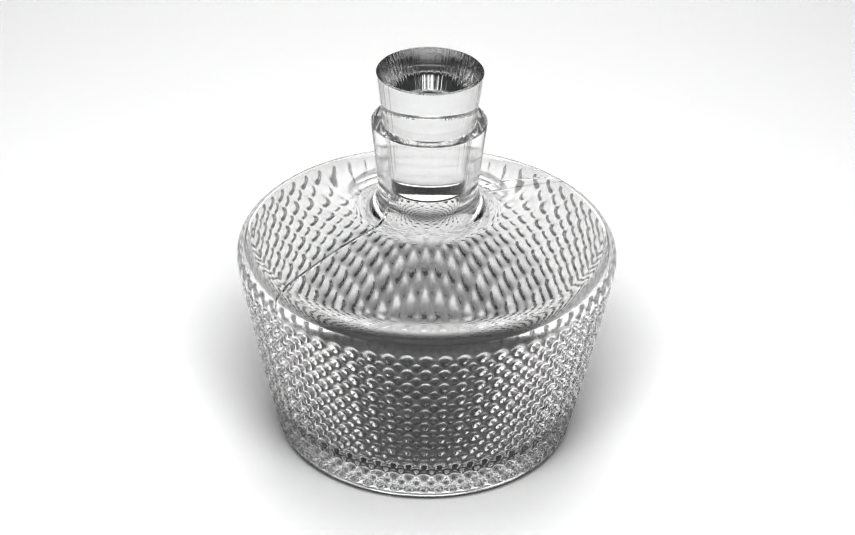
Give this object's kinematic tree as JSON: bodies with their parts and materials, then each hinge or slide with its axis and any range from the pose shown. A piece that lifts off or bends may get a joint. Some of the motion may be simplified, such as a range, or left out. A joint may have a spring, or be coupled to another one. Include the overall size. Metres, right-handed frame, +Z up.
{
  "type": "spirits decanter",
  "caption": "Clear glass spirits decanter: tapered dimpled body, smooth sloping shoulder, short flared neck, and a solid tapered ground stopper that lifts out of the neck.",
  "frame": {"origin": "centre of the base on the table plane, under the decanter's axis", "axes": "+Z up along the axis of body, neck and stopper; -Y is the side that faced the camera"},
  "size_m": [0.1498, 0.1498, 0.1578],
  "materials": {
    "clear_glass": "fire-polished, clear, gloss"
  },
  "bodies": {
    "vessel": {"decanter_body": "clear_glass"},
    "stopper": {"stopper": "clear_glass"}
  },
  "joints": [
    {"name": "stopper_lift", "type": "slide", "parent": "vessel", "child": "stopper", "axis": [0, 0, 1], "range_m": [0, 0.07]}
  ]
}
